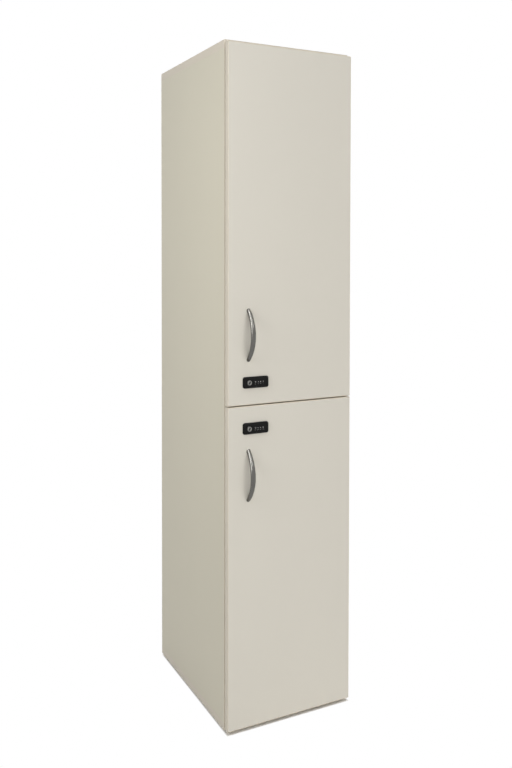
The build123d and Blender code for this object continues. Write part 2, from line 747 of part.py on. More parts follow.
# The two doors, each with the parts that ride on it
for door, (door_low, door_high) in door_levels.items():
    door_middle = (door_low + door_high) / 2
    door_height = door_high - door_low
    door_width = 2 * hinge_edge_x
    lock_z = lock_levels[door]
    handle_z = door_split_height + away_from_split[door] * handle_from_split
    hinge_zs = hinge_levels[door]
    cup_centre_x = hinge_edge_x - cup_from_edge
    cup_screw_x = cup_centre_x - cup_screw_offset
    cup_screw_seats = [
        Plane(origin=(cup_screw_x, door_back_y, z + s * cup_screw_spacing / 2), z_dir=(0, -1, 0))
        for z in hinge_zs
        for s in sides
    ]
    handle_seats = [
        Plane(origin=(handle_x, door_face_y, handle_z + s * handle_spacing / 2), z_dir=(0, -1, 0))
        for s in sides
    ]
    knob_axis = Plane(origin=(knob_x, 0, lock_z), z_dir=(0, 1, 0), x_dir=(1, 0, 0))

    # Door panel: faced board with the hinge bores, the lock's mortice and the handle's holes
    with BuildPart() as door_panel:
        with BuildSketch(facing_front(door_back_y)):
            with Locations((0, door_middle)):
                Rectangle(door_width - 2 * door_band, door_height - 2 * door_band)
            with Locations((lock_x, lock_z)):
                RectangleRounded(
                    lock_body_width + 2 * lock_mortice_play,
                    lock_body_height + 2 * lock_mortice_play,
                    lock_body_corner,
                    mode=Mode.SUBTRACT,
                )
            for s in sides:
                with Locations((handle_x, handle_z + s * handle_spacing / 2)):
                    Circle(handle_screw_radius + handle_screw_play, mode=Mode.SUBTRACT)
        extrude(amount=board)
        for z in hinge_zs:
            cup_seat = Plane(origin=(cup_centre_x, door_back_y, z), z_dir=(0, -1, 0))
            bored(cup_seat, (cup_radius + cup_bore_play, cup_depth + cup_bore_play))
        for seat in cup_screw_seats:
            bored(seat, (screw_radius + fitting_play, screw_bite + seat_play))
    door_panel.part.label = f"{door}_door_panel"
    export_step(door_panel.part, f"parts/{door}_door_panel.step")

    # Door edge band: one strip round all four edges, its arrises rounded
    with BuildPart() as door_edge_band:
        with BuildSketch(facing_front(door_back_y)):
            with Locations((0, door_middle)):
                Rectangle(door_width, door_height)
                Rectangle(door_width - 2 * door_band, door_height - 2 * door_band, mode=Mode.SUBTRACT)
        extrude(amount=board)
        rims = door_edge_band.faces().filter_by(Axis.Y)
        fillet([edge for rim in rims for edge in rim.outer_wire().edges()], door_arris)
    door_edge_band.part.label = f"{door}_door_edge_band"
    export_step(door_edge_band.part, f"parts/{door}_door_edge_band.step")

    # Handle: a cast bow, oval in section, drawn in and thickened towards its two feet
    with BuildPart() as handle:
        for n in range(handle_stations):
            along = 2 * n / (handle_stations - 1) - 1
            turn = radians(along * bow_half_angle)
            width = handle_width + (handle_end_width - handle_width) * along**2
            thick = handle_thickness + (handle_end_thickness - handle_thickness) * along**2
            station = Plane(
                origin=(handle_x, bow_centre_y - bow_radius * cos(turn), handle_z + bow_radius * sin(turn)),
                x_dir=(1, 0, 0),
                z_dir=(0, sin(turn), cos(turn)),
            )
            with BuildSketch(station):
                Ellipse(width / 2, thick / 2)
        loft()
        split(bisect_by=facing_front(door_face_y), keep=Keep.TOP)
        for seat in handle_seats:
            bored(seat, (handle_screw_radius + pivot_play, handle_screw_bite + seat_play))
    handle.part.label = f"{door}_handle"
    export_step(handle.part, f"parts/{door}_handle.step")

    # Handle screws: through the door from behind
    with BuildPart() as handle_screws:
        for seat in handle_seats:
            turned(
                seat.offset(-board - handle_head),
                (handle_head_radius, handle_head),
                (handle_screw_radius, board + handle_screw_bite),
            )
    handle_screws.part.label = f"{door}_handle_screws"
    export_step(handle_screws.part, f"parts/{door}_handle_screws.step")

    # Hinge cups: die-cast, with a winged flange on the door's back and lugs for the inner link's pin
    with BuildPart() as hinge_cups:
        for z in hinge_zs:
            cup_seat = Plane(origin=(cup_centre_x, door_back_y, z), z_dir=(0, -1, 0), x_dir=(1, 0, 0))
            with BuildSketch(cup_seat.offset(-cup_flange)):
                Circle(cup_radius)
                with Locations((-cup_screw_offset, 0)):
                    SlotOverall(cup_wing_length, cup_wing_width, rotation=90)
                with Locations((cup_from_edge - cup_notch / 2, 0)):
                    Rectangle(cup_notch, 2 * cup_notch_half, mode=Mode.SUBTRACT)
            extrude(amount=cup_flange)
            with BuildSketch(cup_seat):
                Circle(cup_radius)
            extrude(amount=cup_depth)
            neck_length = cup_from_edge - cup_pocket_near
            with BuildSketch(cup_seat.offset(-cup_flange)):
                Circle(cup_pocket_radius)
                Rectangle(2 * cup_radius, 2 * cup_pocket_half, mode=Mode.INTERSECT)
                with Locations((neck_length / 2, 0)):
                    Rectangle(neck_length, 2 * cup_pocket_neck)
            extrude(amount=cup_flange + cup_pocket_depth, mode=Mode.SUBTRACT)
            for start, thick in layers(lug_near, lug_far):
                with BuildSketch(Plane.XY.offset(z + start)):
                    bar(inner_cup_xy, in_cup(inner_cup_pivot[0], cup_pocket_depth), cup_lug_width)
                    with Locations(in_cup(inner_cup_pivot[0], cup_depth + cup_lug_width / 2)):
                        Rectangle(cup_lug_width, cup_lug_width, mode=Mode.SUBTRACT)
                extrude(amount=thick)
            outer_pin_half = cup_pocket_half + lug_far - lug_near
            for point, half in ((outer_cup_xy, outer_pin_half), (inner_cup_xy, lug_far)):
                bored(Plane(origin=(*point, z - half), z_dir=(0, 0, 1)), (hole_radius, 2 * half))
        for seat in cup_screw_seats:
            bored(seat.offset(-cup_flange), (screw_radius + fitting_play, cup_flange))
    hinge_cups.part.label = f"{door}_hinge_cups"
    export_step(hinge_cups.part, f"parts/{door}_hinge_cups.step")

    # Cup pins: two short ones for the outer link's cheeks, one between the lugs for the inner link
    stub_start = outer_link_near - pin_head
    stub_length = cup_pocket_half + lug_far - lug_near - stub_start
    with BuildPart() as hinge_cup_pins:
        for z in hinge_zs:
            for up in sides:
                stub_seat = Plane(origin=(*outer_cup_xy, z + up * stub_start), z_dir=(0, 0, up))
                turned(stub_seat, (pin_radius, stub_length))
            turned(Plane(origin=(*inner_cup_xy, z - lug_far), z_dir=(0, 0, 1)), (pin_radius, 2 * lug_far))
    hinge_cup_pins.part.label = f"{door}_hinge_cup_pins"
    export_step(hinge_cup_pins.part, f"parts/{door}_hinge_cup_pins.step")

    # Outer links: a pair of hooked cheeks, from the arm's cheeks round the cup's rim
    with BuildPart() as outer_links:
        for z in hinge_zs:
            for start, thick in layers(outer_link_near, outer_link_far):
                with BuildSketch(Plane.XY.offset(z + start)):
                    bar(outer_arm_xy, outer_knee_xy, link_width)
                    bar(outer_knee_xy, outer_cup_xy, link_width)
                    with Locations(outer_arm_xy, outer_cup_xy):
                        Circle(hole_radius, mode=Mode.SUBTRACT)
                extrude(amount=thick)
    outer_links.part.label = f"{door}_outer_links"
    export_step(outer_links.part, f"parts/{door}_outer_links.step")

    # Inner links: one hooked lever each, with a slotted eye on the cup's pin
    knee_run = hypot(inner_cup_xy[0] - inner_knee_xy[0], inner_cup_xy[1] - inner_knee_xy[1])
    slot_share = inner_slot_travel / knee_run
    slot_end_xy = tuple(c + (k - c) * slot_share for c, k in zip(inner_cup_xy, inner_knee_xy))
    with BuildPart() as inner_links:
        for z in hinge_zs:
            with BuildSketch(Plane.XY.offset(z - inner_link_half)):
                bar(inner_arm_xy, inner_knee_xy, link_width)
                bar(inner_knee_xy, inner_cup_xy, link_width)
                bar(slot_end_xy, inner_cup_xy, slot_end_width)
            extrude(amount=2 * inner_link_half)
            with BuildSketch(Plane.XY.offset(z - inner_link_half)):
                with Locations(inner_arm_xy):
                    Circle(hole_radius)
                bar(slot_end_xy, inner_cup_xy, 2 * (pin_radius + inner_slot_play))
            extrude(amount=2 * inner_link_half, mode=Mode.SUBTRACT)
    inner_links.part.label = f"{door}_inner_links"
    export_step(inner_links.part, f"parts/{door}_inner_links.step")

    # Lock housing: a bevelled black front with four dial windows, its body through the door
    with BuildPart() as lock_housing:
        with BuildSketch(facing_front(door_face_y)):
            with Locations((lock_x, lock_z)):
                RectangleRounded(lock_width, lock_height, lock_corner)
        extrude(amount=lock_projection)
        chamfer(lock_housing.edges().group_by(Axis.Y)[0], lock_bevel)
        with BuildSketch(facing_front(door_back_y)):
            with Locations((lock_x, lock_z)):
                RectangleRounded(lock_body_width, lock_body_height, lock_body_corner)
        extrude(amount=board)
        with BuildSketch(facing_front(door_back_y)):
            with Locations(((dial_room_left + dial_room_right) / 2, lock_z)):
                Rectangle(dial_room_right - dial_room_left, 2 * (dial_radius + dial_play))
        extrude(amount=board + lock_projection - lock_front_wall, mode=Mode.SUBTRACT)
        for x in dial_xs:
            window = Plane(origin=(x - dial_width / 2 - dial_play, dial_y, lock_z), z_dir=(1, 0, 0))
            bored(window, (dial_radius + dial_play, dial_width + 2 * dial_play))
        spindle_seat_plane = Plane(origin=(spindle_left, dial_y, lock_z), z_dir=(1, 0, 0))
        bored(spindle_seat_plane, (spindle_radius + pivot_play, spindle_length))
        bored(knob_axis.offset(lock_front_y), (knob_shaft_radius + fitting_play, board + lock_projection))
        for x in lock_screw_xs:
            seat = Plane(origin=(x, door_back_y, lock_z), z_dir=(0, -1, 0))
            bored(seat, (lock_screw_radius + fitting_play, lock_screw_bite + seat_play))
    lock_housing.part.label = f"{door}_lock_housing"
    export_step(lock_housing.part, f"parts/{door}_lock_housing.step")

    # Lock back plate: closes the body behind the door
    with BuildPart() as lock_back_plate:
        with BuildSketch(facing_front(door_back_y)):
            with Locations((lock_x, lock_z)):
                RectangleRounded(lock_body_width + 2 * lock_plate_margin, lock_height, lock_corner)
            with Locations((knob_x, lock_z)):
                Circle(knob_shaft_radius + fitting_play, mode=Mode.SUBTRACT)
            for x in lock_screw_xs:
                with Locations((x, lock_z)):
                    Circle(lock_screw_radius + fitting_play, mode=Mode.SUBTRACT)
        extrude(amount=-lock_plate)
    lock_back_plate.part.label = f"{door}_lock_back_plate"
    export_step(lock_back_plate.part, f"parts/{door}_lock_back_plate.step")

    # Dial spindle: a plain steel pin held by the housing's two walls
    with BuildPart() as dial_spindle:
        turned(
            Plane(origin=(spindle_left + seat_play, dial_y, lock_z), z_dir=(1, 0, 0)),
            (spindle_radius, spindle_length - 2 * seat_play),
        )
    dial_spindle.part.label = f"{door}_dial_spindle"
    export_step(dial_spindle.part, f"parts/{door}_dial_spindle.step")

    # Dials: ten-number wheels with a finger notch between every two numbers
    for n, x in enumerate(dial_xs, start=1):
        with BuildPart() as dial:
            dial_corner = (x - dial_width / 2, dial_y, lock_z)
            dial_left = Plane(origin=dial_corner, x_dir=(0, -1, 0), z_dir=(1, 0, 0))
            notch_reach = dial_radius + dial_notch_radius / 2
            with BuildSketch(dial_left):
                Circle(dial_radius)
                Circle(spindle_radius + pivot_play, mode=Mode.SUBTRACT)
                with PolarLocations(notch_reach, dial_numbers, start_angle=180 / dial_numbers):
                    Circle(dial_notch_radius, mode=Mode.SUBTRACT)
            extrude(amount=dial_width)
        dial.part.label = f"{door}_dial_{n}"
        export_step(dial.part, f"parts/{door}_dial_{n}.step")

    # Knob: a bevelled turn ring with a slanted key recess, its shaft through the lock to the cam
    shaft_length = cam_front_y - knob_seat_y
    with BuildPart() as lock_knob:
        turned(knob_axis.offset(knob_seat_y - knob_proud), (knob_radius, knob_proud))
        chamfer(lock_knob.edges().group_by(Axis.Y)[0], knob_bevel)
        turned(knob_axis.offset(knob_seat_y), (knob_shaft_radius, shaft_length))
        with BuildSketch(facing_front(cam_front_y)):
            with Locations((knob_x, lock_z)):
                Rectangle(knob_square, knob_square)
        extrude(amount=-cam_thickness)
        with BuildSketch(facing_front(knob_seat_y - knob_proud)):
            with Locations((knob_x, lock_z)):
                SlotOverall(knob_recess_length, knob_recess_width, rotation=knob_recess_slant)
        extrude(amount=-knob_recess_depth, mode=Mode.SUBTRACT)
        cam_screw_end = knob_axis.offset(cam_back_y - cam_screw_bite)
        bored(cam_screw_end, (cam_screw_radius + pivot_play, cam_screw_bite))
    lock_knob.part.label = f"{door}_lock_knob"
    export_step(lock_knob.part, f"parts/{door}_lock_knob.step")

    # Lock cam: a flat lever on the shaft's square, upright when unlocked
    cam_hole = knob_square + 2 * fitting_play
    with BuildPart() as lock_cam:
        with BuildSketch(facing_front(cam_front_y)):
            with Locations((knob_x, lock_z)):
                Circle(cam_hub_radius)
            with Locations((knob_x, lock_z + cam_reach - cam_tip_radius)):
                Circle(cam_tip_radius)
            make_hull()
            with Locations((knob_x, lock_z)):
                Rectangle(cam_hole, cam_hole, mode=Mode.SUBTRACT)
        extrude(amount=-cam_thickness)
    lock_cam.part.label = f"{door}_lock_cam"
    export_step(lock_cam.part, f"parts/{door}_lock_cam.step")

    # Cam screw: holds the cam on its square
    with BuildPart() as cam_screw:
        turned(
            cam_screw_end.offset(seat_play),
            (cam_screw_radius, cam_screw_bite - seat_play),
            (cam_screw_head_radius, cam_screw_head),
        )
    cam_screw.part.label = f"{door}_cam_screw"
    export_step(cam_screw.part, f"parts/{door}_cam_screw.step")

    # Door screws: the hinge cups' wood screws and the lock plate's machine screws
    with BuildPart() as door_screws:
        for seat in cup_screw_seats:
            turned(
                seat.offset(-cup_flange - screw_head),
                (screw_head_radius, screw_head),
                (screw_radius, cup_flange + screw_bite),
            )
        for x in lock_screw_xs:
            seat = Plane(origin=(x, door_back_y + lock_plate + lock_screw_head, lock_z), z_dir=(0, -1, 0))
            lock_screw_length = lock_plate + lock_screw_bite
            turned(seat, (lock_screw_head_radius, lock_screw_head), (lock_screw_radius, lock_screw_length))
    door_screws.part.label = f"{door}_door_screws"
    export_step(door_screws.part, f"parts/{door}_door_screws.step")
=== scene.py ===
import math

import bpy
import numpy as np
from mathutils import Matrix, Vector


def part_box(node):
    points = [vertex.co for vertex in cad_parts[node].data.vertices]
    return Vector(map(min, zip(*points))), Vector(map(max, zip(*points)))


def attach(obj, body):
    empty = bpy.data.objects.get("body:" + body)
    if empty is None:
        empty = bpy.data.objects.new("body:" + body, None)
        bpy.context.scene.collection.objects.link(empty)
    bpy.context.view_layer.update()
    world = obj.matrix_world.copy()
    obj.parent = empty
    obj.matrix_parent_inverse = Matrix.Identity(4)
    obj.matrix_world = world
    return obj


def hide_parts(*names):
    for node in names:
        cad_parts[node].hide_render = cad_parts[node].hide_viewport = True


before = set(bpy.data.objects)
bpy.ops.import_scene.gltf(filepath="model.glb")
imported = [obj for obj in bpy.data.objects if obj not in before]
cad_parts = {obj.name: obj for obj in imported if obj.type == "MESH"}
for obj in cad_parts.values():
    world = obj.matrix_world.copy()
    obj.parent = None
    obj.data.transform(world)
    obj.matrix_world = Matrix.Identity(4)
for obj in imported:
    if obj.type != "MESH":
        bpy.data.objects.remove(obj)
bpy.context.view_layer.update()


# Board panels. Melamine-faced chipboard in a pale warm stone colour, cut square. The faces carry a
# printed paper under clear resin, pressed with a fine pearl grain; the rear edges, which nobody
# sees in use, are left raw, so the brown chips show there.

class Wire:
    """One output of a node. Sums and products of wires and numbers add Math nodes to its tree."""

    def __init__(self, owner, socket):
        self.owner = owner
        self.socket = socket

    def math(self, operation, *values):
        return self.owner.node("ShaderNodeMath", {"operation": operation}, values)["Value"]

    def __add__(self, other):
        return self.math("ADD", self, other)

    def __radd__(self, other):
        return self.math("ADD", other, self)

    def __sub__(self, other):
        return self.math("SUBTRACT", self, other)

    def __rsub__(self, other):
        return self.math("SUBTRACT", other, self)

    def __mul__(self, other):
        return self.math("MULTIPLY", self, other)

    def __rmul__(self, other):
        return self.math("MULTIPLY", other, self)

    def above(self, level):
        return self.math("GREATER_THAN", self, level)

    def below(self, level):
        return self.math("LESS_THAN", self, level)

    def size(self):
        return self.math("ABSOLUTE", self)

    def root(self):
        return self.math("SQRT", self)

    def least(self, level):
        """The wire, held at or above a level."""
        return self.math("MAXIMUM", self, level)

    def most(self, level):
        """The wire, held at or below a level."""
        return self.math("MINIMUM", self, level)


class NodeTree:
    """A node tree in the making, of a material or of the surround."""

    def __init__(self, tree):
        self.tree = tree

    def node(self, kind, settings=None, values=()):
        """Adds a node, makes its settings, then gives its sockets values or links, by order or by name."""
        node = self.tree.nodes.new(kind)
        for key, value in (settings or {}).items():
            if key == "stops":
                ramp = node.color_ramp
                while len(ramp.elements) < len(value):
                    ramp.elements.new(1.0)
                for element, (position, colour) in zip(ramp.elements, value):
                    element.position = position
                    element.color = (*colour, 1.0)
            else:
                setattr(node, key, value)
        sockets = [s for s in node.inputs if s.enabled]
        pairs = values.items() if isinstance(values, dict) else enumerate(values)
        for key, value in pairs:
            socket = sockets[key] if isinstance(key, int) else next(s for s in sockets if s.name == key)
            if isinstance(value, Wire):
                self.tree.links.new(value.socket, socket)
            else:
                socket.default_value = value
        return {s.name: Wire(self, s) for s in node.outputs if s.enabled}


class Finish(NodeTree):
    """A material in the making: its shader's plain settings, and the nodes that vary them."""

    def __init__(self, name, roughness, metallic=0.0, **plain):
        self.material = bpy.data.materials.new(name)
        self.material.use_nodes = True
        super().__init__(self.material.node_tree)
        self.shader = self.tree.nodes["Principled BSDF"]
        for socket, value in {"Roughness": roughness, "Metallic": metallic, **plain}.items():
            self.shader.inputs[socket].default_value = value
        self.place = self.node("ShaderNodeTexCoord")["Object"]

    def noise(self, scale, detail=2.0, stretch=(1.0, 1.0, 1.0), roughness=0.5):
        """Soft noise around 0.5 on the object's own coordinates, with the given waves to the metre."""
        spread = self.node("ShaderNodeVectorMath", {"operation": "MULTIPLY"}, (self.place, stretch))["Vector"]
        values = {"Vector": spread, "Scale": scale, "Detail": detail, "Roughness": roughness}
        return self.node("ShaderNodeTexNoise", None, values)["Fac"]

    def mix(self, share, first, second):
        """A colour between two colours or colour wires."""
        whole = [c if isinstance(c, Wire) else (*c, 1.0) for c in (first, second)]
        values = {"Factor": share, "A": whole[0], "B": whole[1]}
        return self.node("ShaderNodeMix", {"data_type": "RGBA"}, values)["Result"]

    def axes(self):
        parts = self.node("ShaderNodeSeparateXYZ", None, (self.place,))
        return parts["X"], parts["Y"], parts["Z"]

    def feed(self, socket, wire):
        self.tree.links.new(wire.socket, self.shader.inputs[socket])

    def bump(self, height, depth):
        """Bends the surface by a height wire, full scale depth in metres."""
        bent = self.node("ShaderNodeBump", None, {"Strength": 1.0, "Distance": depth, "Height": height})
        self.feed("Normal", bent["Normal"])

    def paint(self, *nodes):
        for name in nodes:
            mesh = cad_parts[name].data
            mesh.materials.clear()
            mesh.materials.append(self.material)


rear_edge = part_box("left_side_panel")[1].y
edge_margin = 0.00005
tone_spread = 0.03


def facing(name, tone):
    """Melamine whose tone follows a soft cloud and a fine grain, with raw chips on the rear edges."""
    made = Finish(name, 0.42)
    cloud = made.noise(3.0, 3.0, (1.0, 1.0, 0.45))
    grain = made.noise(420.0, 2.0)
    lighter = tuple(c * (1.0 + tone_spread) for c in tone)
    darker = tuple(c * (1.0 - tone_spread) for c in tone)
    face = made.mix(cloud * 0.75 + grain * 0.25, darker, lighter)
    chips = made.noise(260.0, 4.0, (1.0, 0.35, 1.0), 0.65)
    raw = made.node(
        "ShaderNodeValToRGB",
        {"stops": ((0.32, (0.23, 0.15, 0.085)), (0.5, (0.42, 0.30, 0.19)), (0.68, (0.60, 0.47, 0.32)))},
        (chips,),
    )["Color"]
    rear = made.axes()[1].above(rear_edge - edge_margin)
    made.feed("Base Color", made.mix(rear, face, raw))
    made.feed("Roughness", 0.40 + grain * 0.05 + rear * 0.35)
    made.bump(grain + chips * rear * 6.0, 0.00004)
    return made


carcass_face = facing("carcass_melamine", (0.665, 0.628, 0.505))
carcass_face.paint("top_panel", "bottom_panel", "left_side_panel", "right_side_panel")
carcass_face.paint("divider_shelf", "back_panel")
door_face = facing("door_melamine", (0.664, 0.634, 0.562))
door_face.paint("upper_door_panel", "lower_door_panel")


# Edge bands. Thin plastic strip glued to the boards' edges and trimmed flush, a shade lighter and
# warmer than the faces, with its rounded arrises a little polished by the trimming wheels.

band = Finish("edge_band", 0.36)
band_cloud = band.noise(9.0, 2.0)
band_grain = band.noise(700.0, 1.0)
band_share = band_cloud * 0.6 + band_grain * 0.4
band.feed("Base Color", band.mix(band_share, (0.640, 0.580, 0.475), (0.690, 0.630, 0.525)))
band.feed("Roughness", 0.33 + band_grain * 0.06)
band.bump(band_grain, 0.00001)
band.paint("carcass_edge_bands", "upper_door_edge_band", "lower_door_edge_band")


# Bow handles. Cast zinc with a satin nickel plate, brushed along the bow before plating, so the
# sheen breaks up into fine lines that run lengthwise.

satin = Finish("satin_nickel", 0.32, 1.0)
satin_lines = satin.noise(60.0, 3.0, (60.0, 60.0, 1.0))
satin_cloud = satin.noise(30.0, 2.0)
# The plate's colour is far darker than nickel's own: painted dark reflection, standing in for a darker
# surround mirrored in the metal.
satin.feed("Base Color", satin.mix(satin_cloud, (0.130, 0.126, 0.116), (0.160, 0.156, 0.145)))
satin.feed("Roughness", 0.20 + satin_lines * 0.05)
satin.bump(satin_lines, 0.000002)
satin.paint("upper_handle", "lower_handle", "coat_hooks")


# Hinges, strikes and lock levers. Pressed and cast parts with a bright nickel or clear zinc plate,
# slightly clouded from the barrel.

nickel = Finish("nickel_plate", 0.22, 1.0)
nickel_cloud = nickel.noise(90.0, 3.0)
nickel.feed("Base Color", nickel.mix(nickel_cloud, (0.58, 0.56, 0.53), (0.68, 0.66, 0.63)))
nickel.feed("Roughness", 0.18 + nickel_cloud * 0.12)
nickel.bump(nickel_cloud, 0.00002)
nickel.paint("hinge_mounting_plates", "hinge_arms")
for door in ("upper", "lower"):
    nickel.paint(f"{door}_hinge_cups", f"{door}_outer_links", f"{door}_inner_links")

zinc = Finish("zinc_plate", 0.34, 1.0)
zinc_cloud = zinc.noise(140.0, 4.0)
zinc.feed("Base Color", zinc.mix(zinc_cloud, (0.50, 0.51, 0.53), (0.63, 0.64, 0.66)))
zinc.feed("Roughness", 0.28 + zinc_cloud * 0.16)
zinc.bump(zinc_cloud, 0.00003)
zinc.paint("cam_fittings", "cam_bolts", "hinge_arm_pins", "lock_strikes")
for door in ("upper", "lower"):
    zinc.paint(f"{door}_hinge_cup_pins", f"{door}_lock_cam")
    zinc.paint(f"{door}_lock_back_plate", f"{door}_dial_spindle")


# Dowels. Fluted beech pegs, glued into the ends of the boards and hidden once they are in.

beech = Finish("beech", 0.6)
beech_grain = beech.noise(70.0, 4.0, (6.0, 6.0, 1.0))
beech.feed("Base Color", beech.mix(beech_grain, (0.50, 0.33, 0.19), (0.66, 0.48, 0.30)))
beech.feed("Roughness", 0.5 + beech_grain * 0.2)
beech.bump(beech_grain, 0.0001)
beech.paint("dowels")


# Glides and door bumpers. Black moulded discs screwed under the bottom board, and clear silicone
# dots that the doors close against.

moulding = Finish("black_moulding", 0.5)
moulding_grain = moulding.noise(900.0, 2.0)
moulding.feed("Base Color", moulding.mix(moulding_grain, (0.016, 0.016, 0.017), (0.030, 0.030, 0.031)))
moulding.feed("Roughness", 0.45 + moulding_grain * 0.15)
moulding.bump(moulding_grain, 0.00003)
moulding.paint("glides")

silicone = Finish("clear_silicone", 0.25)
silicone_cloud = silicone.noise(200.0, 1.0)
silicone.feed("Base Color", silicone.mix(silicone_cloud, (0.72, 0.71, 0.68), (0.80, 0.79, 0.76)))
silicone.feed("Roughness", 0.22 + silicone_cloud * 0.08)
silicone.paint("door_bumpers")


# Combination locks. A black nylon housing with a fine spark grain and a bevelled rim, four black
# dials on a steel spindle, and a turn knob with a chromed face, which is black at its rim and in
# its slanted recess.

casing_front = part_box("upper_lock_housing")[0].y
face_margin = 0.0002
recess_radius = 0.0052
chrome_radius = 0.0059
casing = Finish("lock_casing", 0.4, **{"Specular IOR Level": 0.1})
casing_grain = casing.noise(1500.0, 2.0)
# The bevelled rim and sides are darker than the front face: painted shade on one nylon moulding.
casing_face = casing.axes()[1].below(casing_front + face_margin)
casing_tone_and_shade = casing.mix(casing_face, (0.0012, 0.0012, 0.0012), (0.0075, 0.0075, 0.0070))
casing.feed("Base Color", casing.mix(casing_grain * 0.3, casing_tone_and_shade, (0.010, 0.010, 0.010)))
casing.feed("Roughness", 0.36 + casing_grain * 0.16)
casing.bump(casing_grain, 0.00002)

dial_finish = Finish("lock_dial", 0.34, **{"Specular IOR Level": 0.15})
dial_grain = dial_finish.noise(1800.0, 2.0)
dial_finish.feed("Base Color", dial_finish.mix(dial_grain, (0.004, 0.004, 0.004), (0.008, 0.008, 0.008)))
dial_finish.feed("Roughness", 0.30 + dial_grain * 0.12)

for door in ("upper", "lower"):
    knob_low, knob_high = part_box(f"{door}_lock_knob")
    chrome = Finish(f"{door}_chrome_ring", 0.16, 1.0)
    chrome_cloud = chrome.noise(300.0, 2.0)
    x, y, z = chrome.axes()
    across = x - (knob_low.x + knob_high.x) / 2
    up = z - (knob_low.z + knob_high.z) / 2
    from_centre = (across * across + up * up).root()
    recess = from_centre.below(recess_radius) * y.above(knob_low.y + face_margin)
    black = (recess + from_centre.above(chrome_radius)).most(1.0)
    chrome.feed("Base Color", chrome.mix(black, (0.27, 0.265, 0.245), (0.004, 0.004, 0.004)))
    chrome.feed("Roughness", 0.12 + chrome_cloud * 0.08 + black * 0.3)
    chrome.feed("Metallic", 1.0 - black)
    chrome.paint(f"{door}_lock_knob")
    casing.paint(f"{door}_lock_housing")
    dial_finish.paint(*[f"{door}_dial_{n}" for n in range(1, 5)])


# Screws. Zinc-plated, with a low domed head, a cross recess and a rolled thread. They stand in for
# the frame's plain turned screws, one for one, at the same places and of the same sizes.

points_around = 40
head_rows = 14
shank_rows = 46
# The cross and the dome are shares of the head's radius and depth, thread and tip of the shank's radius.
dome_share = 0.45
cross_half_width = 0.15
cross_reach = 0.62
cross_depth = 0.75
thread_pitch = 0.0016
thread_share = 0.2
tip_share = 0.25
rim_margin = 0.0001
merging_digits = 7
crease_angle = math.radians(30)


def solids_of(node):
    """The points of each separate solid in a CAD node, found by spreading labels along its edges."""
    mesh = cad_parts[node].data
    points = np.zeros(len(mesh.vertices) * 3)
    mesh.vertices.foreach_get("co", points)
    edges = np.zeros(len(mesh.edges) * 2, int)
    mesh.edges.foreach_get("vertices", edges)
    points = points.reshape(-1, 3).round(merging_digits)
    places, same = np.unique(points, axis=0, return_inverse=True)
    first, second = same.ravel()[edges].reshape(-1, 2).T
    labels = np.arange(len(places))
    settled = False
    while not settled:
        lowest = labels.copy()
        np.minimum.at(lowest, first, labels[second])
        np.minimum.at(lowest, second, labels[first])
        settled = bool((lowest == labels).all())
        labels = lowest
    return [places[labels == label] for label in np.unique(labels)]


def screw(points):
    """Rings of points along one screw, and the point that closes either end, from its plain solid.

    The screw lies along the one side of its box that isn't as long as the other two. Over the head
    the radius grows evenly and the depth with its square, and a point near either arm of the cross
    is sunk. Along the shank the radius falls and rises once a pitch, by a triangle wave of depth
    over pitch less the share of the turn, and tapers over the last pitch.
    """
    low, high = points.min(0), points.max(0)
    middle = (low + high) / 2
    length = high - low
    along = int(np.argmax(np.abs(length - np.median(length))))
    across = [(along + 1) % 3, (along + 2) % 3]
    radii = np.hypot(*(points[:, across] - middle[across]).T)
    head_radius, shank_radius = radii.max(), radii.min()
    rim = points[radii > head_radius - rim_margin, along]
    head_depth = rim.max() - rim.min()
    start, sign = (low[along], 1.0) if rim.mean() < middle[along] else (high[along], -1.0)

    turn = np.linspace(0.0, 1.0, points_around, endpoint=False)
    angle = turn * math.tau
    share = np.linspace(0.0, 1.0, head_rows)[1:, None]
    from_arm = np.minimum(np.abs(np.cos(angle)), np.abs(np.sin(angle))) * share
    in_cross = (from_arm < cross_half_width) & (share < cross_reach)
    face_radius = head_radius * share + 0 * turn
    face_depth = head_depth * np.where(in_cross, cross_depth, dome_share * share**2)

    below = np.linspace(0.0, 1.0, shank_rows)[:, None]
    shank_length = length[along] - head_depth
    shank_depth = head_depth + shank_length * below + 0 * turn
    wave = 2 * np.abs((shank_depth / thread_pitch - turn) % 1.0 - 0.5)
    taper = np.clip((1.0 - below) * shank_length / thread_pitch, tip_share, 1.0)
    thread_radius = shank_radius * (1.0 - thread_share * wave) * taper

    radius = np.concatenate([face_radius, face_radius[-1:], thread_radius])
    depth = np.concatenate([face_depth, np.full((1, points_around), head_depth), shank_depth])
    rings = np.zeros((*radius.shape, 3))
    rings[..., along] = start + sign * depth
    rings[..., across[0]] = middle[across[0]] + radius * np.cos(angle)
    rings[..., across[1]] = middle[across[1]] + sign * radius * np.sin(angle)
    ends = np.tile(middle, (2, 1))
    ends[:, along] = start + sign * np.array([head_depth * cross_depth, length[along]])
    return rings, ends


def closed_mesh(name, shapes):
    """One mesh of several ring surfaces, each closed by a fan to the point at either end."""
    points, faces, start = [], [], 0
    for rings, ends in shapes:
        rows, columns = rings.shape[:2]
        index = start + np.arange(rows * columns).reshape(rows, columns)
        beside = np.roll(index, -1, 1)
        sides = np.stack([index[:-1], beside[:-1], beside[1:], index[1:]], -1).reshape(-1, 4)
        first = np.full(columns, start + rows * columns)
        top = np.stack([first, beside[0], index[0]], -1)
        bottom = np.stack([first + 1, index[-1], beside[-1]], -1)
        points.append(np.concatenate([rings.reshape(-1, 3), ends]))
        faces += sides.tolist() + top.tolist() + bottom.tolist()
        start += rows * columns + 2
    mesh = bpy.data.meshes.new(name)
    mesh.from_pydata(np.concatenate(points).tolist(), [], faces)
    mesh.shade_smooth()
    mesh.set_sharp_from_angle(angle=crease_angle)
    return mesh


